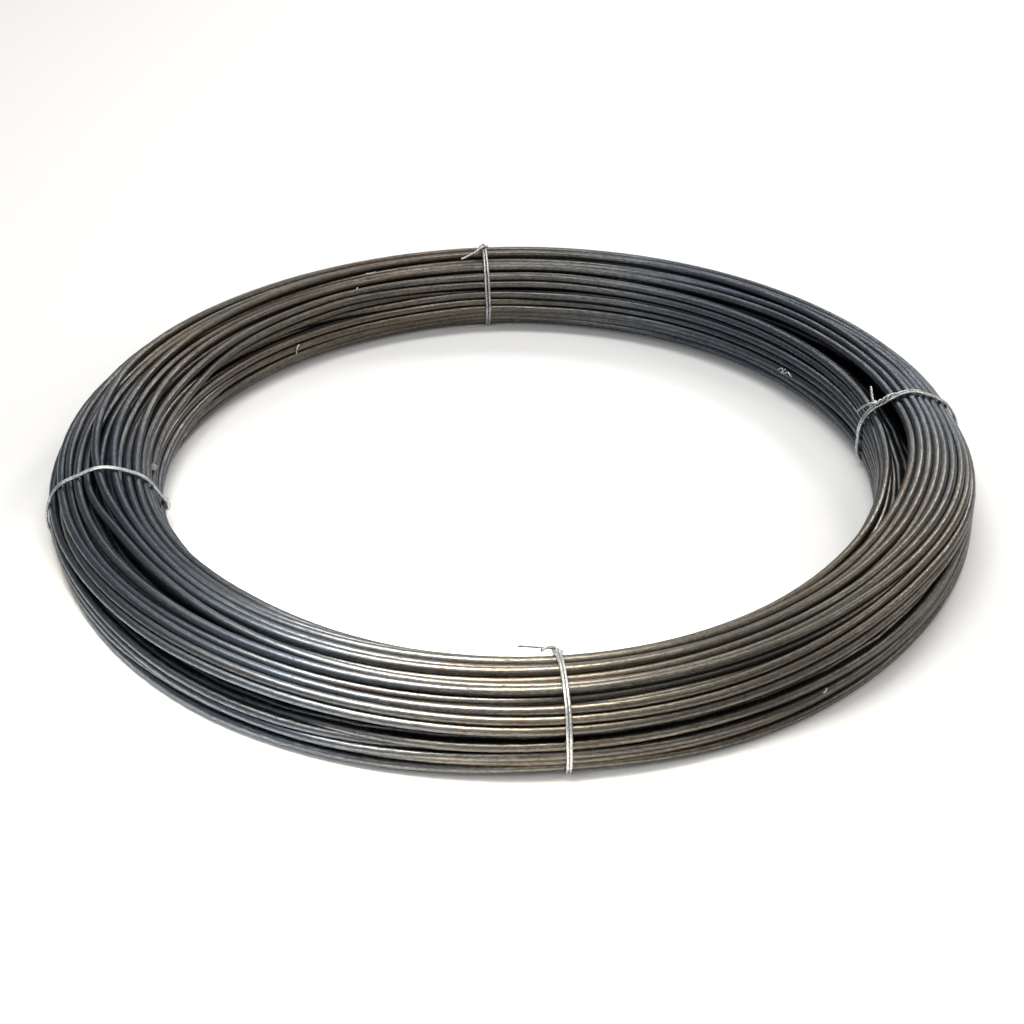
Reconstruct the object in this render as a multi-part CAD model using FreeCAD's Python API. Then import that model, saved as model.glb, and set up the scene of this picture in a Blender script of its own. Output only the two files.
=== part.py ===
"""Coil of pencil rod: one length of round steel rod wound into a ring, held by four tie wires.

The coil lies flat. +Z is up along its axis, and the origin is on the axis, on the floor.
Sizes are in millimetres and angles in degrees, counted from +X towards +Y.
"""
import FreeCAD
import Part
import math
import os

from FreeCAD import Vector

# The rod and how it is wound. Rows of turns are counted from the floor up
rod_diameter = 6.35
eye_diameter = 528.0
turn_gap = 0.30
row_counts = (10, 11, 12, 13, 12, 11, 10, 9, 6, 1)

# The turns show as ridges, with a groove of this depth between neighbours
groove_depth = 2.2

# The two cut ends of the rod face each other across a gap in one turn on the inner flank
end_row = 6
end_gap_start = 184.0
end_gap_angle = 41.0

# Tie wire, doubled round the bundle and hitched through its own bight
tie_wire_diameter = 2.0
tie_wire_sides = 6
tie_clearance = 0.10
strand_gap = 0.25
sharpest_bend = 35.0
bight_clearance = 0.20
bight_length = 6.6
bight_rise = 1.2
tail_lift = 3.5

# Each tie: its place round the coil, the slope of the bundle at its hitch (0 is the outer side,
# 90 the top), and the ends of its two tails: along the coil, towards the eye, off the rods
ties = {
    "tie_wire_front": {"angle": -84.5, "hitch_slope": 120.0,
                       "tails": ((-25.0, 4.0, 3.5), (-11.0, -6.0, 3.5))},
    "tie_wire_right": {"angle": 8.0, "hitch_slope": 90.0,
                       "tails": ((-6.0, 22.0, 3.5), (17.0, 11.0, 3.5))},
    "tie_wire_back": {"angle": 94.7, "hitch_slope": 60.0,
                      "tails": ((21.0, 14.0, 3.5), (8.0, 12.0, 4.5))},
    "tie_wire_left": {"angle": 192.0, "hitch_slope": 150.0,
                      "tails": ((-22.0, 6.0, 3.5), (-14.0, -6.0, 3.5))},
}

axis_point = Vector(0, 0, 0)
axis_direction = Vector(0, 0, 1)
rod_radius = rod_diameter / 2
wire_radius = tie_wire_diameter / 2
turn_pitch = rod_diameter + turn_gap
row_rise = turn_pitch * math.sqrt(3) / 2
top_row = len(row_counts) - 1
bundle_width = (max(row_counts) - 1) * turn_pitch + rod_diameter
bundle_centre = (eye_diameter + bundle_width) / 2
bottom_row_height = tie_wire_diameter + tie_clearance + rod_radius
wire_offset = rod_radius + tie_clearance + wire_radius
strand_offset = wire_radius + strand_gap / 2


def turn_centre(row, place):
    """Centre of a turn's section. Turns of a row are counted outwards from the eye."""
    across = (place - (row_counts[row] - 1) / 2) * turn_pitch
    return Vector(bundle_centre + across, 0, bottom_row_height + row * row_rise)


def turns_that_show():
    """Centres of the turns at the surface, from the bottom row up the inner side, over the
    top and down the outer side. The bottom row lies hidden, so only its end turns count."""
    inner, outer = [turn_centre(0, 0)], [turn_centre(0, row_counts[0] - 1)]
    for row in range(1, top_row):
        last = row_counts[row] - 1
        shown = math.ceil((row_counts[row] - row_counts[row + 1]) / 2)
        for place in range(max(shown, 1)):
            inner.append(turn_centre(row, place))
            outer.append(turn_centre(row, last - place))
    top = [turn_centre(top_row, place) for place in range(row_counts[top_row])]
    return inner + top + outer[::-1]


def off_the_rods(start, end):
    """Direction square to a line of the bundle's outline, away from the rods."""
    along = (end - start).normalize()
    return Vector(-along.z, 0, along.x)


def pushed_out(before, corner, after, distance):
    """The corner of an outline, moved so that both of its sides lie the distance further out."""
    out_before = off_the_rods(before, corner)
    out_after = off_the_rods(corner, after)
    middle = (out_before + out_after).normalize()
    return corner + middle * (distance / middle.dot(out_after))


def rod_section():
    """Outline of the whole bundle: a ridge for each turn that shows, over a plain underside."""
    centres = turns_that_show()
    first, last = centres[0], centres[-1]
    points = [pushed_out(last, first, centres[1], rod_radius)]
    for before, here, after in zip(centres, centres[1:], centres[2:]):
        points += lobe(before, here, after)[:2]
    points.append(groove(centres[-2], last))
    points.append(pushed_out(centres[-2], last, first, rod_radius))
    return Part.Face(Part.makePolygon(points + points[:1]))


def groove(start, end):
    """Point between two neighbouring turns where their surfaces meet."""
    return (start + end) * 0.5 + off_the_rods(start, end) * (rod_radius - groove_depth)


def lobe(before, here, after):
    """What shows of one turn: groove, ridge, groove."""
    out = (off_the_rods(before, here) + off_the_rods(here, after)).normalize()
    return [groove(before, here), here + out * rod_radius, groove(here, after)]


def make_rod_coil():
    coil = rod_section().revolve(axis_point, axis_direction, 360)
    below, missing, above = [turn_centre(row, 0) for row in (end_row - 1, end_row, end_row + 1)]
    groove_below, ridge, groove_above = lobe(below, missing, above)
    heel = missing * 2 - ridge
    past_the_ridge = ridge + (ridge - missing) * 0.5
    slot = Part.Face(Part.makePolygon([groove_below, past_the_ridge, groove_above, heel, groove_below]))
    slot.rotate(axis_point, axis_direction, end_gap_start)
    return coil.cut(slot.revolve(axis_point, axis_direction, end_gap_angle))


def taut_outline():
    """Centres of the turns that a wire pulled tight round the bundle bends over."""
    corners = []
    for centre in turns_that_show():
        while len(corners) > 1 and not bends_inwards(corners[-2], corners[-1], centre):
            corners.pop()
        corners.append(centre)
    return corners


def bends_inwards(a, b, c):
    return (b - a).cross(c - b).y > 1e-6


def tie_path():
    """Corners of a wire pulled tight round the bundle, in the same order as its turns."""
    corners = taut_outline()
    path = []
    for before, here, after in zip(corners[-1:] + corners, corners, corners[1:] + corners[:1]):
        out_before = off_the_rods(before, here)
        out_after = off_the_rods(here, after)
        bend = out_before.getAngle(out_after)
        bends = math.ceil(math.degrees(bend) / sharpest_bend)
        for i in range(bends):
            turned = math.degrees(bend) * (i + 0.5) / bends
            out = FreeCAD.Rotation(Vector(0, 1, 0), turned).multVec(out_before)
            path.append(here + out * (wire_offset / math.cos(bend / bends / 2)))
    return path


def wire_along(points):
    """Tie wire along straight runs between the points, mitred where they meet."""
    face_along = FreeCAD.Rotation(Vector(0, 0, 1), points[1] - points[0])
    reach = wire_radius / math.cos(math.pi / tie_wire_sides)
    corners = []
    for i in range(tie_wire_sides):
        turned = 2 * math.pi * (i + 0.5) / tie_wire_sides
        corner = Vector(math.cos(turned), math.sin(turned), 0) * reach
        corners.append(points[0] + face_along.multVec(corner))
    profile = Part.makePolygon(corners + corners[:1])
    mitred = 1
    return Part.makePolygon(points).makePipeShell([profile], True, False, mitred)


def make_tie(angle, hitch_slope, tails):
    path = tie_path()
    middle_of_underside = (path[0] + path[-1]) * 0.5
    loop = [middle_of_underside] + path + [middle_of_underside]
    runs = list(zip(loop, loop[1:]))
    slope = math.radians(hitch_slope)
    facing = Vector(math.cos(slope), 0, math.sin(slope))
    start, end = max(runs, key=lambda run: off_the_rods(*run).dot(facing))
    hitch = (start + end) * 0.5
    towards_eye = (start - end).normalize()
    out = off_the_rods(start, end)

    def at(sideways, inwards, outwards):
        return hitch + Vector(0, sideways, 0) + towards_eye * inwards + out * outwards

    half_width = strand_offset + tie_wire_diameter + bight_clearance
    bight = [at(-strand_offset, -bight_length, 0)]
    for turned in (180, 135, 90, 45, 0):
        a = math.radians(turned)
        bight.append(at(half_width * math.cos(a), half_width * math.sin(a), bight_rise))
    bight.append(at(strand_offset, -bight_length, 0))

    pieces = [wire_along(bight)]
    for side, tail_end in zip((-1, 1), tails):
        strand = Vector(0, side * strand_offset, 0)
        pieces.append(wire_along([point + strand for point in loop]))
        foot = hitch + strand
        pieces.append(wire_along([foot, foot + out * tail_lift, at(*tail_end)]))
    tie = pieces[0].fuse(pieces[1:]).removeSplitter()
    tie.rotate(axis_point, axis_direction, angle)
    return tie


def main():
    os.makedirs("parts", exist_ok=True)
    pieces = {"rod_coil": make_rod_coil()}
    for name, tie in ties.items():
        pieces[name] = make_tie(**tie)
    for name, shape in pieces.items():
        shape.exportStep(f"parts/{name}.step")
        box = shape.optimalBoundingBox(False, False)
        print(f"{name}: {len(shape.Solids)} solid, valid {shape.isValid()}, {shape.Volume / 1000:.1f} cm3, "
              f"x {box.XMin:.1f} {box.XMax:.1f} y {box.YMin:.1f} {box.YMax:.1f} z {box.ZMin:.2f} {box.ZMax:.2f}")
    rod_length = sum(row_counts) * math.pi * 2 * bundle_centre
    print(f"turns {sum(row_counts)}, rod length {rod_length / 1000:.1f} m")


main()
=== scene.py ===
import math

import bpy
import numpy as np
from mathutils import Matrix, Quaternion, Vector


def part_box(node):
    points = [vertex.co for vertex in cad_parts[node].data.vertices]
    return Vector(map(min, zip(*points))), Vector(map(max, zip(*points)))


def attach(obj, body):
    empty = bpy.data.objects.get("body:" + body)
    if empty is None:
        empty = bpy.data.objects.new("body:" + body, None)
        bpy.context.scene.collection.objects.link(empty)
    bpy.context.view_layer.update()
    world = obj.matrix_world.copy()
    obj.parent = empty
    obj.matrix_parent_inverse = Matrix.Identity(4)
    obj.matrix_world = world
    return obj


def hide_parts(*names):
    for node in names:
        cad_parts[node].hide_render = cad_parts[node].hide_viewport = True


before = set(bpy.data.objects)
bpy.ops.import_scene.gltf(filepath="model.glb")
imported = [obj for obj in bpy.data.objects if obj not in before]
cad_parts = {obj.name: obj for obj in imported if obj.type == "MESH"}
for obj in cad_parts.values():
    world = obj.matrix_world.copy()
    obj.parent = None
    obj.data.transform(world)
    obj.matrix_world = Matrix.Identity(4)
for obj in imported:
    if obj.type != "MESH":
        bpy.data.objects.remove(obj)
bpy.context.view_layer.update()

# Metres and degrees. The coil lies flat on the floor, its axis is Z and the camera looks from -Y.
# Angles round the coil count from +X towards +Y, and "across" is a (radius, height) pair in its section.

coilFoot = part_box("rod_coil")[0].z

# Camera

cameraView = {
    "distance": 1.62,
    "elevation": 31.65,
    "lens": 74.4,
    "lookAt": (-0.0018, 0.0, -0.0192),
    "roll": -0.32,
}


def addCamera(view):
    tilt = math.radians(view["elevation"])
    place = Vector((0, -math.cos(tilt), math.sin(tilt))) * view["distance"]
    data = bpy.data.cameras.new("camera")
    data.lens = view["lens"]
    data.clip_start = 0.01
    camera = bpy.data.objects.new("camera", data)
    facing = (Vector(view["lookAt"]) - place).to_track_quat("-Z", "Y")
    level = Quaternion((0, 0, 1), math.radians(view["roll"]))
    camera.location = place
    camera.rotation_euler = (facing @ level).to_euler()
    bpy.context.scene.collection.objects.link(camera)
    bpy.context.scene.camera = camera


addCamera(cameraView)
print("camera placed")

# The winding: one rod laid turn by turn into rows, then settled until its turns rest on each other

winding = {
    "rodDiameter": 0.00635,
    "turnGap": 0.00030,
    "rowCounts": (10, 11, 12, 13, 12, 11, 10, 9, 6, 1),
    "eyeRadius": 0.264,
    "stations": 120,         # places round the ring where the turns are held apart
    "startAngle": 226.0,     # the end that lies out of sight
    "endAngle": 184.0,       # the cut end that shows
    "stepAt": 0.92,          # share of a turn after which the rod steps to its next place
    "stepSpread": 0.10,      # how much that varies
    "stepWide": (0.30, 0.60),
    "drift": 0.0026,         # how far neighbouring turns stray together
    "driftKnots": (9, 5, 4),         # random values of that: round the ring, across and up
    "wander": 0.0015,        # how far a turn strays by itself
    "wanderWaves": 3.4,      # random values of that in a lap
    "strayLow": (4.0, 0.15),         # how fast turns stray more with height, and the least share
    "strayUpwards": 0.6,     # straying up and down, as a share of straying sideways
    "looseness": 0.0032,     # how far the bundle may swell between the ties
    "tieGrip": 14.0,         # degrees over which a tie holds it in
    "swell": {"angle": 254.0, "wide": 68.0, "share": 0.13},
    "pinches": ((-30.0, 32.0, 0.009, 0.010), (212.0, 22.0, 0.005, 0.0), (8.0, 16.0, 0.002, 0.004)),
    "rounds": 300,
    "settle": 0.00003,       # how far a turn sinks in a round
    "thinStart": 0.45,       # the rod grows from this share of its diameter while it settles
    "thickAt": 0.55,         # share of the rounds after which it has all of it
    "openAt": 0.3,           # and after which the openings are full and kinks are eased
    "pull": 0.10,            # towards a turn's own place, at the start
    "straighten": 0.35,
    "straightenEnds": 0.3,
    "apart": 1.004,          # distance that turns keep, in diameters
    "push": 1.4,             # how strongly turns that overlap part
    "nearby": 1.5,           # diameters within which turns are neighbours
    "lookEvery": 8,          # rounds between two looks for neighbours
    "endPlace": (0.2718, 0.0338),    # radius and height of the cut end, on the inner flank
    "endHeld": 16,           # stations over which the end is held there
    "endPull": 0.25,
    "sharpest": 0.00045,     # most that a turn may bend aside within one station
    "easing": {"gain": 1.5, "fade": 0.88, "reach": 5, "rounds": 6, "strength": 0.5},
    "seed": 1,
}

# Long openings between turns: angle round the coil, half length, place across the top from
# -1 at the eye to 1 outside, width, and depth below the surface
openings = (
    (236.0, 44.0, 0.87, 0.015, 0.015),
    (357.0, 28.0, -0.48, 0.024, 0.034),
    (205.0, 26.0, 0.18, 0.007, 0.009),
    (322.0, 26.0, 0.84, 0.013, 0.014),
    (86.0, 18.0, -0.82, 0.004, 0.006),
    (31.0, 22.0, -0.54, 0.006, 0.008),
    (148.0, 20.0, -0.87, 0.004, 0.006),
    (292.0, 20.0, 0.72, 0.004, 0.006),
)

tieAngles = {"tie_wire_front": -84.5, "tie_wire_right": 8.0, "tie_wire_back": 94.7, "tie_wire_left": 192.0}


def rowPlaces(w):
    pitch = w["rodDiameter"] + w["turnGap"]
    middle = w["eyeRadius"] + ((max(w["rowCounts"]) - 1) * pitch + w["rodDiameter"]) / 2
    low = coilFoot + w["rodDiameter"] / 2
    rows = []
    for row, count in enumerate(w["rowCounts"]):
        height = low + row * pitch * math.sqrt(3) / 2
        rows.append([(middle + (i - (count - 1) / 2) * pitch, height) for i in range(count)])
    return rows


def windingOrder(rows):
    # to and fro, row by row, then over the top and down the inner side
    order = []
    for row in range(6):
        order += rows[row] if row % 2 == 0 else rows[row][::-1]
    order += rows[6][1:]
    order += rows[7][:2:-1]
    order += rows[8][2:]
    order += rows[9]
    order += [rows[8][1], rows[7][2], rows[7][1], rows[8][0], rows[7][0], rows[6][0]]
    return np.array(order)


def outlineOf(points):
    # convex outline, counter-clockwise in (radius, height)
    ordered = sorted(map(tuple, points))

    def half(run):
        kept = []
        for p in run:
            while len(kept) > 1:
                a, b = kept[-2], kept[-1]
                if (b[0] - a[0]) * (p[1] - a[1]) - (b[1] - a[1]) * (p[0] - a[0]) > 1e-9:
                    break
                kept.pop()
            kept.append(p)
        return kept[:-1]

    return np.array(half(ordered) + half(ordered[::-1]))


def smoothBetween(a, b, c, d, f):
    # the smooth curve through four values, at the share f from the second to the third
    return 0.5 * (2 * b + (c - a) * f + (2 * a - 5 * b + 4 * c - d) * f ** 2
                  + (3 * b - a - 3 * c + d) * f ** 3)


def smoothNoise(dice, count, spacing):
    # a smooth line through random heights, one every so many points
    knots = dice.normal(size=int(count / spacing) + 4)
    x = np.arange(count) / spacing + 1
    i = x.astype(int)
    f = x - i
    a, b, c, d = knots[i - 1], knots[i], knots[i + 1], knots[i + 2]
    return smoothBetween(a, b, c, d, f)


def driftField(dice, counts, angle, across):
    # a smooth random push that neighbouring turns share, over the angle and the section
    heights = dice.normal(size=counts)
    spots = (angle / 360 * counts[0], across[:, 0] * (counts[1] - 1), across[:, 1] * (counts[2] - 1))
    base, part = [], []
    for axis, spot in enumerate(spots):
        i = np.floor(spot).astype(int)
        if axis:
            i = np.clip(i, 0, counts[axis] - 2)
        f = np.clip(spot - i, 0, 1)
        base.append(i)
        part.append(f * f * (3 - 2 * f))
    value = 0
    for corner in np.ndindex(2, 2, 2):
        weight = np.prod([np.abs(1 - c - f) for c, f in zip(corner, part)], 0)
        here = [i + c for i, c in zip(base, corner)]
        value = value + weight * heights[here[0] % counts[0], here[1], here[2]]
    return value


def fromAngle(angles, centre):
    return (angles - centre + 180) % 360 - 180


def swellAt(w, angle):
    return w["swell"]["share"] * np.exp(-(fromAngle(angle, w["swell"]["angle"]) / w["swell"]["wide"]) ** 2)


def pinchAt(w, angle):
    # how far the outer and the inner side are drawn in: rows of angle, width, outer, inner
    outer = sum(row[2] * np.exp(-(fromAngle(angle, row[0]) / row[1]) ** 2) for row in w["pinches"])
    inner = sum(row[3] * np.exp(-(fromAngle(angle, row[0]) / row[1]) ** 2) for row in w["pinches"])
    return outer, inner


def turnTargets(w, dice, order, angle, corners):
    # where each turn wants to lie: in its row, stepping to the next place once a lap
    laps, total = len(order), len(angle)
    station = np.arange(total) / w["stations"]
    stepAt = w["stepAt"] + w["stepSpread"] * dice.uniform(-1, 1, laps)
    stepWide = dice.uniform(*w["stepWide"], laps)
    place = np.zeros(total)
    for k in range(laps - 1):
        t = np.clip((station - k - stepAt[k]) / stepWide[k] + 0.5, 0, 1)
        place += t * t * (3 - 2 * t)
    low = np.minimum(place.astype(int), laps - 1)
    high = np.minimum(low + 1, laps - 1)
    part = (place - low)[:, None]
    target = order[low] * (1 - part) + order[high] * part
    lowest, highest = corners.min(0), corners.max(0)
    middle = corners.mean(0)
    target = middle + (target - middle) * (1 + swellAt(w, angle)[:, None])
    across = (target - lowest) / (highest - lowest)
    outer, inner = pinchAt(w, angle)
    share = np.clip(across[:, 0], 0, 1)
    target[:, 0] += inner * (1 - share) - outer * share
    across = (target - lowest) / (highest - lowest)
    steepness, least = w["strayLow"]
    free = np.clip(across[:, 1] * steepness, least, 1)
    free = np.stack([free, w["strayUpwards"] * free], 1)
    drift = np.stack([driftField(dice, w["driftKnots"], angle, across) for _ in range(2)], 1)
    target += w["drift"] * drift * free
    for axis in (0, 1):
        noise = smoothNoise(dice, total, w["stations"] / w["wanderWaves"])
        target[:, axis] += w["wander"] * free[:, axis] * noise
    return target


def makeWedges(w, angle, corners):
    # what holds the openings apart: a short rib square to the surface, fattest at its middle angle
    lowest, highest = corners.min(0), corners.max(0)
    middle = corners.mean(0)
    wedges = []
    for at, reach, across, wide, deep in openings:
        away = fromAngle(angle, at) / reach
        near = np.flatnonzero(np.abs(away) < 1)
        size = (w["rodDiameter"] + wide) / 2 * (1 - away[near] ** 2) ** 0.75
        x = (lowest[0] + highest[0]) / 2 + across * (highest[0] - lowest[0]) / 2
        heights = []
        for a, b in zip(corners, np.roll(corners, -1, 0)):
            if b[0] < a[0] and b[0] <= x <= a[0]:
                heights.append(a[1] + (b[1] - a[1]) * (x - a[0]) / (b[0] - a[0]))
        surface = np.array([x, max(heights)])
        inwards = (middle - surface) / np.linalg.norm(middle - surface)
        wedges.append((near, size, surface, inwards, deep))
    return wedges


def findNeighbours(grid, x, within):
    found = []
    for ids in grid:
        ids = ids[ids >= 0]
        gap = np.linalg.norm(x[ids][:, None] - x[ids][None], axis=2)
        a, b = np.nonzero(np.triu(gap < within, 1))
        found.append(np.stack([ids[a], ids[b]]))
    return np.concatenate(found, 1)


def straighten(x, strength):
    x[1:-1] += strength * (0.5 * (x[:-2] + x[2:]) - x[1:-1])


def easeKinks(x, sharpest, easing):
    # a turn that squeezes between two others does it gently
    bend = np.zeros(len(x))
    bend[1:-1] = np.linalg.norm(x[:-2] + x[2:] - 2 * x[1:-1], axis=1)
    share = np.clip((bend / sharpest - 1) * easing["gain"], 0, 1)
    for _ in range(easing["reach"]):
        share[1:] = np.maximum(share[1:], easing["fade"] * share[:-1])
        share[:-1] = np.maximum(share[:-1], easing["fade"] * share[1:])
    eased = x.copy()
    for _ in range(easing["rounds"]):
        straighten(eased, easing["strength"])
    x += (eased - x) * share[:, None]


def windRod(w):
    dice = np.random.default_rng(w["seed"])
    rows = rowPlaces(w)
    order = windingOrder(rows)
    laps, perLap = len(order), w["stations"]
    total = round((w["endAngle"] + 360 * laps - w["startAngle"]) * perLap / 360) + 1
    station = np.arange(total)
    angle = w["startAngle"] + 360 / perLap * station

    # the outline that the ties pull the bundle into
    corners = outlineOf(np.concatenate([np.array(row) for row in rows]))
    edge = np.roll(corners, -1, 0) - corners
    outwards = np.stack([edge[:, 1], -edge[:, 0]], 1)
    outwards /= np.linalg.norm(outwards, axis=1, keepdims=True)
    limit = (outwards * corners).sum(1)
    lowest, highest = corners.min(0), corners.max(0)
    fromTie = np.min([np.abs(fromAngle(angle, a)) for a in tieAngles.values()], 0)
    slack = w["looseness"] * (1 - np.exp(-(fromTie / w["tieGrip"]) ** 2))
    slack += swellAt(w, angle) * (highest - lowest).mean() / 2
    outer, inner = pinchAt(w, angle)

    target = turnTargets(w, dice, order, angle, corners)
    wedges = makeWedges(w, angle, corners)
    x = target.copy()
    grid = np.full((perLap, laps), -1)
    grid[station % perLap, station // perLap] = station
    holding = w["endPull"] * np.linspace(0, 1, w["endHeld"])[:, None] ** 2
    for settling in range(w["rounds"]):
        done = settling / w["rounds"]
        grown = min(w["thinStart"] + (1 - w["thinStart"]) * done / w["thickAt"], 1)
        d = w["rodDiameter"] * w["apart"] * grown
        x += (target - x) * w["pull"] * (1 - done) ** 2
        x[:, 1] -= w["settle"]
        for _ in range(2):
            straighten(x, w["straighten"])
        x[0] += w["straightenEnds"] * (2 * x[1] - x[2] - x[0])
        x[-1] += w["straightenEnds"] * (2 * x[-2] - x[-3] - x[-1])
        x[-w["endHeld"]:] += (np.array(w["endPlace"]) - x[-w["endHeld"]:]) * holding
        if settling % w["lookEvery"] == 0:
            a, b = findNeighbours(grid, x, w["nearby"] * w["rodDiameter"])
        for near, size, surface, inwards, deep in wedges:
            along = np.clip((x[near] - surface) @ inwards, 0, deep)
            away = x[near] - surface - along[:, None] * inwards
            gap = np.maximum(np.linalg.norm(away, axis=1), 1e-9)
            short = np.maximum(size * min(1, done / w["openAt"]) - gap, 0)
            x[near] += away / gap[:, None] * (0.5 * short)[:, None]
        for _ in range(3):
            away = x[a] - x[b]
            gap = np.maximum(np.linalg.norm(away, axis=1), 1e-9)
            short = np.maximum(d - gap, 0)
            push = away / gap[:, None] * (short / 2)[:, None]
            pressed = (short > 0).astype(float)
            count = np.maximum(np.bincount(a, pressed, total) + np.bincount(b, pressed, total), 1)
            for axis in (0, 1):
                apart = np.bincount(a, push[:, axis], total) - np.bincount(b, push[:, axis], total)
                x[:, axis] += w["push"] * apart / count
            for n, c in zip(outwards, limit):
                x -= np.maximum(x @ n - c - slack, 0)[:, None] * n
            np.clip(x, lowest, highest, out=x)
            x[:, 0] = np.clip(x[:, 0], lowest[0] + inner, highest[0] - outer)
        if done > w["openAt"]:
            easeKinks(x, w["sharpest"], w["easing"])
    depth = np.min(limit - x @ outwards.T, 1)
    return angle, x, depth


def placeOf(angle, across):
    # point in space of a (radius, height) pair at an angle round the coil
    a = np.radians(angle)
    across = np.asarray(across)
    return np.stack([across[..., 0] * np.cos(a), across[..., 0] * np.sin(a), across[..., 1] + 0 * a], -1)


rodAngle, rodAcross, rodDepth = windRod(winding)
rodPoints = placeOf(rodAngle, rodAcross)
rodAlong = np.concatenate([[0], np.cumsum(np.linalg.norm(np.diff(rodPoints, axis=0), axis=1))])
print(f"rod wound: {len(winding['rowCounts'])} rows, {rodAlong[-1]:.1f} m")


# Node helpers

def addNode(tree, kind, values=None, **settings):
    node = tree.nodes.new(kind)
    for name, value in settings.items():
        setattr(node, name, value)
    for name, value in (values or {}).items():
        socket = node.inputs[name]
        if isinstance(value, bpy.types.NodeSocket):
            tree.links.new(value, socket)
        else:
            socket.default_value = value
    return node


def newMaterial(name):
    material = bpy.data.materials.new(name)
    material.use_nodes = True
    tree = material.node_tree
    tree.nodes.clear()
    shader = tree.nodes.new("ShaderNodeBsdfPrincipled")
    output = tree.nodes.new("ShaderNodeOutputMaterial")
    tree.links.new(shader.outputs[0], output.inputs[0])
    return material, tree, shader


# Materials. Patterns on the rod read its own length and the direction round it, so they run on
# along every turn without a seam

rodFinishAndPaintedLight = {
    "scale": (0.020, 0.020, 0.021, 1),       # dark oxide skin
    "bare": (0.33, 0.32, 0.29, 1),           # drawn steel where the skin is thin
    "cool": (0.068, 0.074, 0.082, 1),        # bluish runs
    "warm": (0.096, 0.083, 0.068, 1),        # brownish runs
    "rust": (0.110, 0.052, 0.029, 1),
    "speck": (0.010, 0.010, 0.010, 1),
    "scuff": (0.75, 0.73, 0.67, 1),
    "paintedCoolLight": (0.67, 0.79, 1.00, 1),       # painted cooler, darker light over the front left and the back right: painted bluish reflection and painted shade
    "paintedWarmLight": (0.93, 0.88, 0.79, 1),       # painted warm light over the back left and the front right: painted cream reflection
    "paintedLightReach": 0.094,                      # radius of the coil, squared
    "paintedLightTurn": (0.91, 0.20),                # cosine, and half the sine, of twice the turn of 12 degrees
    "paintedLightEdge": (0.30, -0.30),
    "metal": 1.0,
    # patterns: how often each changes per metre and round the rod, detail, start, and roughness
    "streaks": ((26.0, 1.9), 4.0, 0.0, 0.55),
    "grain": ((250.0, 1.9), 3.0, 40.0, 0.65),
    "specks": ((420.0, 3.0), 2.0, 330.0, 0.6),
    "scuffs": ((70.0, 5.0), 4.0, 210.0, 0.75),
    "patches": ((9.0, 1.0), 3.0, 260.0, 0.55),
    "runs": ((1.1, 0.3), 2.0, 90.0, 0.55),
    "rustiness": ((6.0, 0.9), 5.0, 150.0, 0.65),
    "thinness": (0.45, 0.55),                # shares of streaks and grain in how thin the skin is
    # ranges: from and to in the pattern, and what they become
    "bareShare": (0.37, 0.65, 0.17, 0.76),
    "warmShare": (0.40, 0.60, 0.0, 1.0),
    "tintShare": (0.35, 0.65, 0.15, 0.7),
    "rustShare": (0.56, 0.70, 0.0, 0.65),
    "speckShare": (0.60, 0.70, 0.0, 0.6),
    "scuffShare": (0.68, 0.74, 0.0, 0.8),
    "roughness": (0.38, 0.62, 0.42, 0.33),
    "rustRoughness": (0.60, 0.75, 0.0, 0.2),
    "speckRoughness": (0.55, 0.66, 0.0, 0.15),
    "bumpShares": (0.5, 0.3, -0.25),         # of grain, streaks and specks
    "bumpStrength": 0.6,
    "bumpHeight": 0.00007,
}


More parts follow.
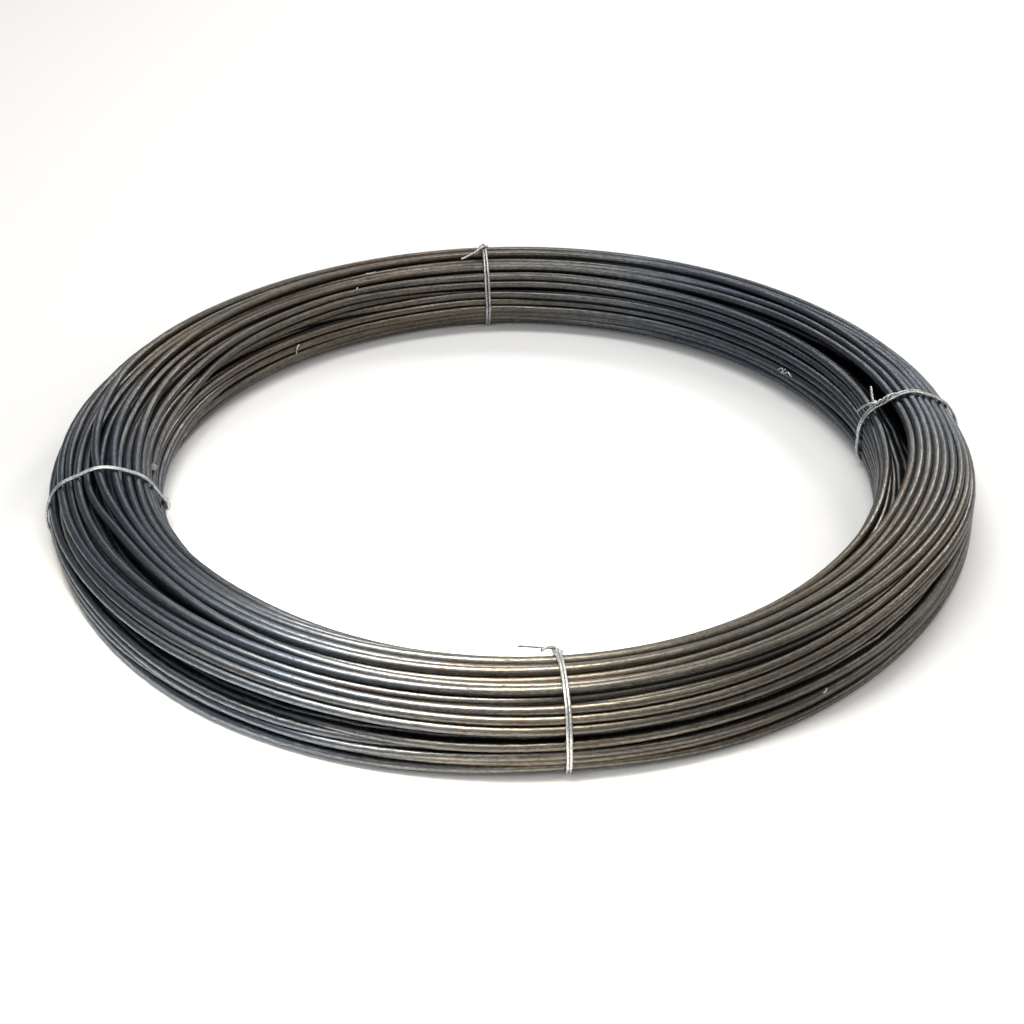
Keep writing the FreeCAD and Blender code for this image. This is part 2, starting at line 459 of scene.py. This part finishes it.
def makeRodSteel(f):
    material, tree, shader = newMaterial("rodSteel")
    along = addNode(tree, "ShaderNodeAttribute", attribute_name="alongRod").outputs["Fac"]
    around = addNode(tree, "ShaderNodeAttribute", attribute_name="aroundRod").outputs["Vector"]
    split = addNode(tree, "ShaderNodeSeparateXYZ", {0: around})
    coil = addNode(tree, "ShaderNodeSeparateXYZ", {0: addNode(tree, "ShaderNodeTexCoord").outputs["Object"]})

    def maths(operation, *values):
        return addNode(tree, "ShaderNodeMath", dict(enumerate(values)), operation=operation).outputs[0]

    def noise(pattern):
        (perMetre, perRound), detail, start, rough = pattern
        where = addNode(tree, "ShaderNodeCombineXYZ", {
            0: maths("MULTIPLY_ADD", along, perMetre, start),
            1: maths("MULTIPLY", split.outputs[0], perRound),
            2: maths("MULTIPLY", split.outputs[1], perRound),
        })
        settings = {"Vector": where.outputs[0], "Scale": 1.0, "Detail": detail, "Roughness": rough}
        return addNode(tree, "ShaderNodeTexNoise", settings).outputs["Fac"]

    def between(value, low, high, bottom=0.0, top=1.0):
        return addNode(tree, "ShaderNodeMapRange", {"Value": value, "From Min": low, "From Max": high,
                                                    "To Min": bottom, "To Max": top}).outputs[0]

    def blended(share, first, second, kind="MIX"):
        return addNode(tree, "ShaderNodeMix", {0: share, 6: first, 7: second}, data_type="RGBA",
                       blend_type=kind).outputs[2]

    streak = noise(f["streaks"])
    grain = noise(f["grain"])
    speck = noise(f["specks"])
    run = noise(f["runs"])
    rusty = noise(f["rustiness"])
    scuffed = noise(f["scuffs"])
    patch = noise(f["patches"])

    streakShare, grainShare = f["thinness"]
    thin = maths("ADD", maths("MULTIPLY", streak, streakShare), maths("MULTIPLY", grain, grainShare))
    skin = blended(between(thin, *f["bareShare"]), f["scale"], f["bare"])
    tint = blended(between(run, *f["warmShare"]), f["cool"], f["warm"])
    colour = blended(between(patch, *f["tintShare"]), skin, tint)
    colour = blended(between(rusty, *f["rustShare"]), colour, f["rust"])
    colour = blended(between(speck, *f["speckShare"]), colour, f["speck"])
    colour = blended(between(scuffed, *f["scuffShare"]), colour, f["scuff"])
    # painted light: each quarter of the coil gets a tint. Two quarters are cooler and darker, as painted
    # reflection and painted shade. The other two are warmer, as painted warm light. Half the sine of twice
    # the angle round the coil, turned on a little: its sign tells the quarters apart
    x, y = coil.outputs[0], coil.outputs[1]
    quarter = maths("SUBTRACT", maths("MULTIPLY", x, x), maths("MULTIPLY", y, y))
    quarter = maths("MULTIPLY", quarter, f["paintedLightTurn"][1])
    quarter = maths("MULTIPLY_ADD", maths("MULTIPLY", x, y), f["paintedLightTurn"][0], quarter)
    quarter = maths("DIVIDE", quarter, f["paintedLightReach"])
    paintedLight = blended(between(quarter, *f["paintedLightEdge"]), f["paintedCoolLight"], f["paintedWarmLight"])
    # the painted light is multiplied over the rod's own colours
    colour = blended(1.0, colour, paintedLight, "MULTIPLY")
    tree.links.new(colour, shader.inputs["Base Color"])
    rough = maths("ADD", between(thin, *f["roughness"]), between(rusty, *f["rustRoughness"]))
    rough = maths("ADD", rough, between(speck, *f["speckRoughness"]))
    tree.links.new(rough, shader.inputs["Roughness"])
    shader.inputs["Metallic"].default_value = f["metal"]
    grainShare, streakShare, speckShare = f["bumpShares"]
    height = maths("ADD", maths("MULTIPLY", grain, grainShare), maths("MULTIPLY", streak, streakShare))
    height = maths("ADD", height, maths("MULTIPLY", speck, speckShare))
    bump = addNode(tree, "ShaderNodeBump",
                   {"Height": height, "Strength": f["bumpStrength"], "Distance": f["bumpHeight"]})
    tree.links.new(bump.outputs[0], shader.inputs["Normal"])
    return material


rodSteel = makeRodSteel(rodFinishAndPaintedLight)

cutFinish = {
    "dull": (0.55, 0.53, 0.49, 1),
    "bright": (0.90, 0.87, 0.82, 1),
    "often": 1400.0,
    "detail": 3.0,
    "range": (0.0, 1.0),
    "roughness": 0.45,
    "metal": 0.3,
}

wireFinish = {
    "dull": (0.25, 0.265, 0.27, 1),
    "bright": (0.58, 0.59, 0.58, 1),
    "often": 700.0,
    "detail": 4.0,
    "range": (0.35, 0.6),
    "roughness": 0.38,
    "metal": 0.9,
}


def makeMottledMetal(name, f):
    material, tree, shader = newMaterial(name)
    where = addNode(tree, "ShaderNodeTexCoord").outputs["Object"]
    noise = addNode(tree, "ShaderNodeTexNoise", {"Vector": where, "Scale": f["often"], "Detail": f["detail"]})
    low, high = f["range"]
    share = addNode(tree, "ShaderNodeMapRange",
                    {"Value": noise.outputs["Fac"], "From Min": low, "From Max": high})
    colour = addNode(tree, "ShaderNodeMix",
                     {0: share.outputs[0], 6: f["dull"], 7: f["bright"]}, data_type="RGBA")
    tree.links.new(colour.outputs[2], shader.inputs["Base Color"])
    shader.inputs["Metallic"].default_value = f["metal"]
    shader.inputs["Roughness"].default_value = f["roughness"]
    return material


cutSteel = makeMottledMetal("cutSteel", cutFinish)   # the sheared faces at the rod's ends
galvanisedWire = makeMottledMetal("galvanisedWire", wireFinish)
print("rod steel, cut steel and galvanised wire mixed")

# The rod as a tube along its winding


def tubeTree():
    # edges of a mesh become tubes; the sizes and the finish are inputs
    tree = bpy.data.node_groups.new("tubeAlongPath", "GeometryNodeTree")
    face = tree.interface
    face.new_socket("Geometry", in_out="INPUT", socket_type="NodeSocketGeometry")
    face.new_socket("Radius", in_out="INPUT", socket_type="NodeSocketFloat")
    face.new_socket("Sides", in_out="INPUT", socket_type="NodeSocketInt")
    face.new_socket("Finish", in_out="INPUT", socket_type="NodeSocketMaterial")
    face.new_socket("Geometry", in_out="OUTPUT", socket_type="NodeSocketGeometry")
    given = tree.nodes.new("NodeGroupInput")
    path = addNode(tree, "GeometryNodeMeshToCurve", {0: given.outputs["Geometry"]})
    ring = addNode(tree, "GeometryNodeCurvePrimitiveCircle",
                   {"Resolution": given.outputs["Sides"], "Radius": given.outputs["Radius"]})
    spot = tree.nodes.new("GeometryNodeInputPosition")
    unit = addNode(tree, "ShaderNodeVectorMath", {0: spot.outputs[0]}, operation="NORMALIZE")
    marked = addNode(tree, "GeometryNodeStoreNamedAttribute",
                     {"Geometry": ring.outputs["Curve"], "Name": "aroundRod", "Value": unit.outputs[0]},
                     data_type="FLOAT_VECTOR", domain="POINT")
    tube = addNode(tree, "GeometryNodeCurveToMesh",
                   {"Curve": path.outputs[0], "Profile Curve": marked.outputs[0], "Fill Caps": True})
    corners = tree.nodes.new("GeometryNodeInputMeshFaceNeighbors")
    isSide = addNode(tree, "FunctionNodeCompare", {2: corners.outputs["Vertex Count"], 3: 5},
                     data_type="INT", operation="LESS_THAN")
    smooth = addNode(tree, "GeometryNodeSetShadeSmooth",
                     {"Geometry": tube.outputs[0], "Shade Smooth": isSide.outputs[0]}, domain="FACE")
    real = addNode(tree, "GeometryNodeRealizeInstances", {0: smooth.outputs[0]})
    dressed = addNode(tree, "GeometryNodeSetMaterial",
                      {"Geometry": real.outputs[0], "Material": given.outputs["Finish"]})
    out = tree.nodes.new("NodeGroupOutput")
    tree.links.new(dressed.outputs[0], out.inputs[0])
    return tree


tubes = tubeTree()


def tubePiece(name, paths, radius, sides, finish):
    # paths: pairs of points and the length along the rod at each; a path that ends where it starts
    # becomes a ring without ends
    points, along, edges = [], [], []
    for path, lengths in paths:
        first = sum(len(p) for p in points)
        ring = np.allclose(path[0], path[-1])
        count = len(path) - 1 if ring else len(path)
        points.append(path[:count])
        along.append(lengths[:count])
        edges += [(first + i, first + i + 1) for i in range(count - 1)]
        if ring:
            edges.append((first + count - 1, first))
    mesh = bpy.data.meshes.new(name + "Path")
    mesh.from_pydata(np.concatenate(points).tolist(), edges, [])
    attribute = mesh.attributes.new("alongRod", "FLOAT", "POINT")
    attribute.data.foreach_set("value", np.concatenate(along).astype(np.float32))
    piece = bpy.data.objects.new(name, mesh)
    bpy.context.scene.collection.objects.link(piece)
    modifier = piece.modifiers.new("tubes", "NODES")
    modifier.node_group = tubes
    sockets = {item.name: item.identifier for item in tubes.interface.items_tree if item.in_out == "INPUT"}
    modifier[sockets["Radius"]] = radius
    modifier[sockets["Sides"]] = sides
    modifier[sockets["Finish"]] = finish
    bpy.context.view_layer.update()
    graph = bpy.context.evaluated_depsgraph_get()
    ready = piece.evaluated_get(graph)
    made = bpy.data.meshes.new_from_object(ready, preserve_all_data_layers=True, depsgraph=graph)
    piece.modifiers.clear()
    piece.data = made
    made.name = name
    bpy.data.meshes.remove(mesh)
    print(f"{name}: {sum(len(f.vertices) - 2 for f in made.polygons)} triangles")
    return piece


rodDetail = {
    "seenDepth": 0.0068,     # a turn nearer to the bundle's outside than this can be seen
    "seenSides": 16,
    "innerSides": 8,
    "innerEvery": 3,         # stations from one point of an inside turn to the next
    "shortest": 24,          # a shorter stretch inside is left with what can be seen
    "margin": 6,             # stations that a stretch that can be seen runs on
}


def runsOf(flags):
    # (first, last) of each unbroken run
    change = np.flatnonzero(np.diff(np.concatenate([[0], flags.astype(int), [0]])))
    return list(zip(change[::2], change[1::2] - 1))


def splitSeen(depth, detail):
    # which stations of the rod can be seen, in long stretches
    seen = depth < detail["seenDepth"]
    for first, last in runsOf(~seen):
        if last - first < detail["shortest"]:
            seen[first:last + 1] = True
    wide = seen.copy()
    for shift in range(1, detail["margin"] + 1):
        wide[shift:] |= seen[:-shift]
        wide[:-shift] |= seen[shift:]
    return wide


def stretchesOf(flags, every):
    found = []
    for first, last in runsOf(flags):
        last = min(last + 1, len(flags) - 1)
        keep = np.unique(np.concatenate([np.arange(first, last + 1, every), [last]]))
        found.append((rodPoints[keep], rodAlong[keep]))
    return found


seen = splitSeen(rodDepth, rodDetail)
outerPaths = stretchesOf(seen, 1)
innerPaths = stretchesOf(~seen, rodDetail["innerEvery"])
print(f"stretches of rod: {len(outerPaths)} seen, {len(innerPaths)} inside")

rodRadius = winding["rodDiameter"] / 2
# the long outer stretch is two pieces, cut at a station they share, so neither gets too heavy
stretches = sorted(outerPaths, key=lambda path: len(path[0]))
half = len(stretches[-1][0]) // 2
firstPart = [part[:half + 1] for part in stretches[-1]]
lastPart = [part[half:] for part in stretches[-1]]
rodPieces = [
    tubePiece("rodTurnsA", stretches[:-1] + [firstPart], rodRadius, rodDetail["seenSides"], rodSteel),
    tubePiece("rodTurnsB", [lastPart], rodRadius, rodDetail["seenSides"], rodSteel),
    tubePiece("rodTurnsInside", innerPaths, rodRadius, rodDetail["innerSides"], rodSteel),
]
for piece in rodPieces:
    piece.data.materials.append(cutSteel)
    for face in piece.data.polygons:
        if len(face.vertices) > 4:
            face.material_index = 1
    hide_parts("rod_coil")
    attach(piece, "root")

# Tie wires: doubled round the bundle, pulled tight, and hitched through their own bight

tie = {
    "wireDiameter": 0.0020,
    "clearance": 0.0001,
    "bendStep": 8.0,         # degrees from point to point where the wire bends over a turn
    "stiffness": 0.0070,     # length over which the wire rounds off a corner
    "spacing": 0.0012,
    "sides": 12,
    "waves": 3,              # how often the two strands part and meet on their way round
    # the rest in millimetres
    "bightRoom": 2.2,        # from a strand to the bight beside it
    "bightFoot": 7.5,        # how far below the knot the bight leaves the strands
    "bightShoulder": (0.8, 3.5, 0.9),    # share of its width, distance below the knot, lift
    "bightLift": 1.3,
    "twistRadius": 1.05,
    "twistStart": (-2.0, 1.9),           # from the knot, and off the rods
    "twistHalfTurns": 3,
    "tailSpacing": 0.8,
}

# Each tie: least and most distance of a strand from the tie's middle, the slope of the bundle at
# the hitch, and in millimetres how far towards the eye the knot sits from there, the length of its
# twist, and the points of its tails: along the coil, towards the eye, off the rods
ties = {
    "tie_wire_front": {
        "apart": (0.00101, 0.00107), "hitchSlope": 120.0, "knotAt": 0.0, "twist": 0.0, "tails": (
            ((-1.1, -3.0, 0.4), (-0.8, 1.0, 1.9), (-4.0, 4.2, 3.6), (-13.0, 4.4, 5.0), (-25.0, 3.0, 6.4)),
            ((1.1, -3.0, 0.4), (1.0, 0.8, 2.6), (-1.4, 2.2, 4.2), (-6.0, -0.6, 4.4), (-11.0, -6.0, 3.5)))},
    "tie_wire_right": {
        "apart": (0.00102, 0.00185), "hitchSlope": 90.0, "knotAt": 17.0, "twist": 12.0, "tails": (
            ((1.0, 30.0, 3.4), (2.5, 35.0, 4.4), (4.0, 41.0, 5.4)),
            ((3.5, 28.5, 3.4), (11.0, 27.0, 4.4), (19.0, 25.0, 5.2)))},
    "tie_wire_back": {
        "apart": (0.00102, 0.00150), "hitchSlope": 60.0, "knotAt": 15.0, "twist": 6.0, "tails": (
            ((3.0, 23.5, 2.8), (10.0, 31.0, 3.2), (21.0, 38.0, 3.4)),
            ((1.0, 23.0, 3.4), (5.0, 28.0, 4.2), (10.0, 33.0, 4.5)))},
    "tie_wire_left": {
        "apart": (0.00101, 0.00104), "hitchSlope": 150.0, "knotAt": 17.0, "twist": 0.0, "tails": (
            ((-1.1, 14.0, 0.4), (-0.8, 19.0, 1.4), (-5.0, 22.5, 2.2), (-12.0, 23.5, 2.2), (-18.0, 23.5, 2.2)),
            ((1.1, 14.0, 0.4), (1.0, 18.0, 2.2), (-2.0, 20.0, 2.8), (-7.0, 19.0, 2.4), (-11.0, 18.5, 2.2)))},
}


def rodsAt(angle):
    # the section of every turn at an angle round the coil
    found = []
    first = int(np.floor((rodAngle[0] - angle) / 360))
    last = int(np.ceil((rodAngle[-1] - angle) / 360))
    for lap in range(first, last + 1):
        at = angle + 360 * lap
        if rodAngle[0] <= at <= rodAngle[-1]:
            found.append([np.interp(at, rodAngle, rodAcross[:, 0]), np.interp(at, rodAngle, rodAcross[:, 1])])
    return np.array(found)


def tautPath(centres, offset, step):
    # a wire pulled tight round circles at the centres, as points of its middle line
    corners = outlineOf(centres)
    edge = np.roll(corners, -1, 0) - corners
    facing = np.degrees(np.arctan2(-edge[:, 0], edge[:, 1]))
    path = []
    for corner, before, after in zip(corners, np.roll(facing, 1), facing):
        turn = (after - before) % 360
        count = max(int(np.ceil(turn / step)), 1)
        for angle in np.radians(before + np.linspace(0, turn, count + 1)):
            path.append(corner + offset * np.array([math.cos(angle), math.sin(angle)]))
    return np.array(path)


def evenlySpaced(path, spacing, closed):
    points = np.vstack([path, path[:1]]) if closed else path
    run = np.concatenate([[0], np.cumsum(np.linalg.norm(np.diff(points, axis=0), axis=1))])
    count = max(int(round(run[-1] / spacing)), 4)
    at = np.linspace(0, run[-1], count, endpoint=not closed)
    return np.stack([np.interp(at, run, points[:, axis]) for axis in range(points.shape[1])], 1)


def blurRound(values, width):
    # Gaussian blur along a closed run of values
    reach = int(3 * width) + 1
    shifts = np.arange(-reach, reach + 1)
    weights = np.exp(-0.5 * (shifts / width) ** 2)
    weights /= weights.sum()
    return sum(weight * np.roll(values, shift, 0) for weight, shift in zip(weights, shifts))


def stiffPath(centres, offset):
    # the taut wire with its corners rounded off, lifted until it clears the turns again
    path = evenlySpaced(tautPath(centres, offset, tie["bendStep"]), tie["spacing"], True)
    width = tie["stiffness"] / tie["spacing"]
    path = blurRound(path, width)
    ahead = np.roll(path, -1, 0) - np.roll(path, 1, 0)
    outwards = np.stack([ahead[:, 1], -ahead[:, 0]], 1)
    outwards /= np.linalg.norm(outwards, axis=1, keepdims=True)
    nearest = np.linalg.norm(path[:, None] - centres[None], axis=2).min(1)
    short = np.maximum(offset - nearest, 0)
    for _ in range(int(width)):
        short = np.maximum(short, np.maximum(np.roll(short, 1), np.roll(short, -1)))
    path = path + outwards * blurRound(short[:, None], width / 2)
    path[:, 1] = np.maximum(path[:, 1], tie["wireDiameter"] / 2)
    return path, outwards


def curveThrough(points, spacing, steps=12):
    # smooth curve through points, evenly spaced
    p = np.array(points, float)
    p = np.vstack([2 * p[0] - p[1], p, 2 * p[-1] - p[-2]])
    f = np.linspace(0, 1, steps, endpoint=False)[:, None]
    fine = [smoothBetween(*p[i - 1:i + 3], f) for i in range(1, len(p) - 2)]
    return evenlySpaced(np.vstack(fine + [p[-2:-1]]), spacing, False)


def looseWires(shape, apart):
    # bight and tails of one tie, in the tie's own millimetres
    wide = apart * 1000 + tie["bightRoom"]
    turned = np.radians(np.linspace(180, 0, 9))
    knot = shape["knotAt"]
    foot = knot - tie["bightFoot"]
    share, below, lift = tie["bightShoulder"]
    bight = [(-apart * 1000, foot, 0.0), (-wide * share, knot - below, lift)]
    bight += [(wide * math.cos(a), knot + wide * math.sin(a), tie["bightLift"]) for a in turned]
    bight += [(wide * share, knot - below, lift), (apart * 1000, foot, 0.0)]
    wires = [bight]
    for way, tail in zip((1, -1), shape["tails"]):
        start = []
        if shape["twist"]:
            # the two ends are twisted together before they part
            inwards, off = tie["twistStart"]
            for share in np.linspace(0, 1, 13):
                phase = share * tie["twistHalfTurns"] * math.pi
                reach = way * tie["twistRadius"]
                side, lift = reach * math.cos(phase), reach * math.sin(phase)
                start.append((side, knot + inwards + share * shape["twist"], off + lift))
        wires.append(start + list(tail))
    return wires


def makeTie(name, angle, shape):
    offset = rodRadius + tie["clearance"] + tie["wireDiameter"] / 2
    path, outwards = stiffPath(rodsAt(angle), offset)
    a = math.radians(angle)
    radial = np.array([math.cos(a), math.sin(a), 0])
    tangent = np.array([-math.sin(a), math.cos(a), 0])
    upwards = np.array([0, 0, 1])
    count = len(path)
    slope = math.radians(shape["hitchSlope"])
    hitch = int(np.argmax(outwards @ np.array([math.cos(slope), math.sin(slope)])))

    def at(sideways, inwards, off):
        # the path runs counter-clockwise, from the outer side over the top to the eye
        place = (hitch + np.asarray(inwards) / tie["spacing"]) % count
        low = np.floor(place).astype(int)
        part = (place - low)[..., None]
        flat = path[low % count] * (1 - part) + path[(low + 1) % count] * part
        flat = flat + outwards[low % count] * np.asarray(off)[..., None]
        return flat[..., :1] * radial + flat[..., 1:] * upwards + np.asarray(sideways)[..., None] * tangent

    dice = np.random.default_rng(abs(int(angle * 10)))
    least, most = shape["apart"]
    paths = []
    for side in (-1, 1):
        wave = np.sin(np.arange(count) / count * 2 * math.pi * tie["waves"] + dice.uniform(0, 6))
        sideways = side * (least + (most - least) * (0.5 + 0.5 * wave))
        strand = at(sideways, (np.arange(count) - hitch) * tie["spacing"], np.zeros(count))
        paths.append((np.vstack([strand, strand[:1]]), np.zeros(count + 1)))
    for wire in looseWires(shape, least):
        points = curveThrough(wire, tie["tailSpacing"]) / 1000
        points = at(points[:, 0], points[:, 1], points[:, 2])
        paths.append((points, np.zeros(len(points))))
    piece = tubePiece(name + "_wire", paths, tie["wireDiameter"] / 2, tie["sides"], galvanisedWire)
    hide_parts(name)
    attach(piece, "root")


for name, angle in tieAngles.items():
    makeTie(name, angle, ties[name])

# Snippets of wire left lying on the coil. Places: angle, radius and height beside them on the
# bundle, and their points in millimetres along the coil, up the bundle and off the rods

snippets = {
    "wireDiameter": 0.0012,
    "sides": 8,
    "spacing": 0.7,
    "places": (
        (33.0, 0.2650, 0.0250, ((-9, 1, 0.9), (-4, -1, 1.4), (0, 2, 1.8), (3, -1.5, 1.4), (8, 2, 0.9))),
        (33.0, 0.2650, 0.0250, ((-1, -2.5, 0.9), (0.5, 0, 2.4), (2.5, 2.5, 1.8))),
        (133.5, 0.2640, 0.0230, ((-3, -2, 0.8), (0, 0, 1.3), (1, 5, 0.9))),
        (114.5, 0.2940, 0.0550, ((-4, 0, 0.7), (0, 0.8, 1.0), (5, -0.4, 0.7))),
        (118.5, 0.2800, 0.0500, ((-1.5, -1, 0.7), (0, 0.4, 1.2), (1.2, 1.4, 0.7))),
        (305.5, 0.3480, 0.0210, ((-1.5, -1.5, 0.7), (0, 0, 1.2), (0.8, 1.6, 0.7))),
    ),
}


def makeSnippets(shape):
    paths = []
    for angle, radius, height, points in shape["places"]:
        flat, outwards = stiffPath(rodsAt(angle), rodRadius)
        near = int(np.argmin(np.hypot(flat[:, 0] - radius, flat[:, 1] - height)))
        out = outwards[near]
        upwards = np.array([-out[1], out[0]])
        bent = curveThrough(points, shape["spacing"]) / 1000
        across = flat[near] + bent[:, 1:2] * upwards + bent[:, 2:3] * out
        at = placeOf(np.full(len(bent), angle), across)
        a = math.radians(angle)
        at = at + bent[:, :1] * np.array([-math.sin(a), math.cos(a), 0])
        paths.append((at, np.zeros(len(at))))
    piece = tubePiece("wireSnippets", paths, shape["wireDiameter"] / 2, shape["sides"], galvanisedWire)
    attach(piece, "root")


makeSnippets(snippets)

# Floor and light

studio = {
    "floor": {"size": 14, "colour": (0.95, 0.95, 0.95, 1), "roughness": 0.9},
    "surround": 0.30,
    "lights": {
        "overhead": {"place": (0.0, 0.30, 1.9), "size": (1.2, 0.5), "power": 16, "colour": (1, 0.99, 0.96)},
        "behind": {"place": (0.0, 2.2, 1.6), "size": (1.2, 0.5), "power": 11, "colour": (1, 1, 1)},
        "behindRight": {"place": (1.2, 1.8, 1.3), "size": (0.6, 0.4), "power": 18, "colour": (1, 0.96, 0.88)},
        "right": {"place": (1.4, 0.0, 0.8), "size": (0.5, 0.5), "power": 3, "colour": (1, 0.97, 0.90)},
        "front": {"place": (0.0, -1.6, 0.8), "size": (0.8, 0.6), "power": 3, "colour": (1, 1, 1)},
        "frontLeft": {"place": (-0.9, -1.2, 1.2), "size": (0.7, 0.5), "power": 5, "colour": (1, 1, 1)},
        "frontRight": {"place": (0.9, -1.2, 1.5), "size": (0.7, 0.5), "power": 3.5,
                       "colour": (1, 0.99, 0.96)},
        "nearLeft": {"place": (-0.29, -0.28, 0.55), "size": (0.3, 0.25), "power": 0.85,
                     "colour": (1, 0.94, 0.82), "aim": (-0.20, -0.29, 0.03), "spread": 55},
        "nearFront": {"place": (-0.08, -0.32, 0.55), "size": (0.3, 0.25), "power": 0.95,
                      "colour": (1, 0.94, 0.82), "aim": (-0.06, -0.34, 0.03), "spread": 55},
    },
}


def addFloor(size, colour, roughness):
    bpy.ops.mesh.primitive_plane_add(size=size)
    floor = bpy.context.object
    floor.name = "floor"
    material, tree, shader = newMaterial("paleFloor")
    shader.inputs["Base Color"].default_value = colour
    shader.inputs["Roughness"].default_value = roughness
    floor.data.materials.append(material)


def addLight(name, place, size, power, colour, aim=(0, 0, 0), spread=180):
    data = bpy.data.lights.new(name, "AREA")
    data.shape = "RECTANGLE"
    data.size, data.size_y = size
    data.energy = power
    data.color = colour
    data.spread = math.radians(spread)
    light = bpy.data.objects.new(name, data)
    light.location = place
    light.rotation_euler = (Vector(aim) - Vector(place)).to_track_quat("-Z", "Y").to_euler()
    bpy.context.scene.collection.objects.link(light)


addFloor(**studio["floor"])
for name, light in studio["lights"].items():
    addLight(name, **light)
world = bpy.data.worlds.new("studio")
world.use_nodes = True
surround = world.node_tree.nodes["Background"]
surround.inputs["Color"].default_value = (1, 1, 1, 1)
surround.inputs["Strength"].default_value = studio["surround"]
print(f"floor and {len(studio['lights'])} lights placed")
bpy.context.scene.world = world
bpy.context.scene.view_settings.view_transform = "Standard"
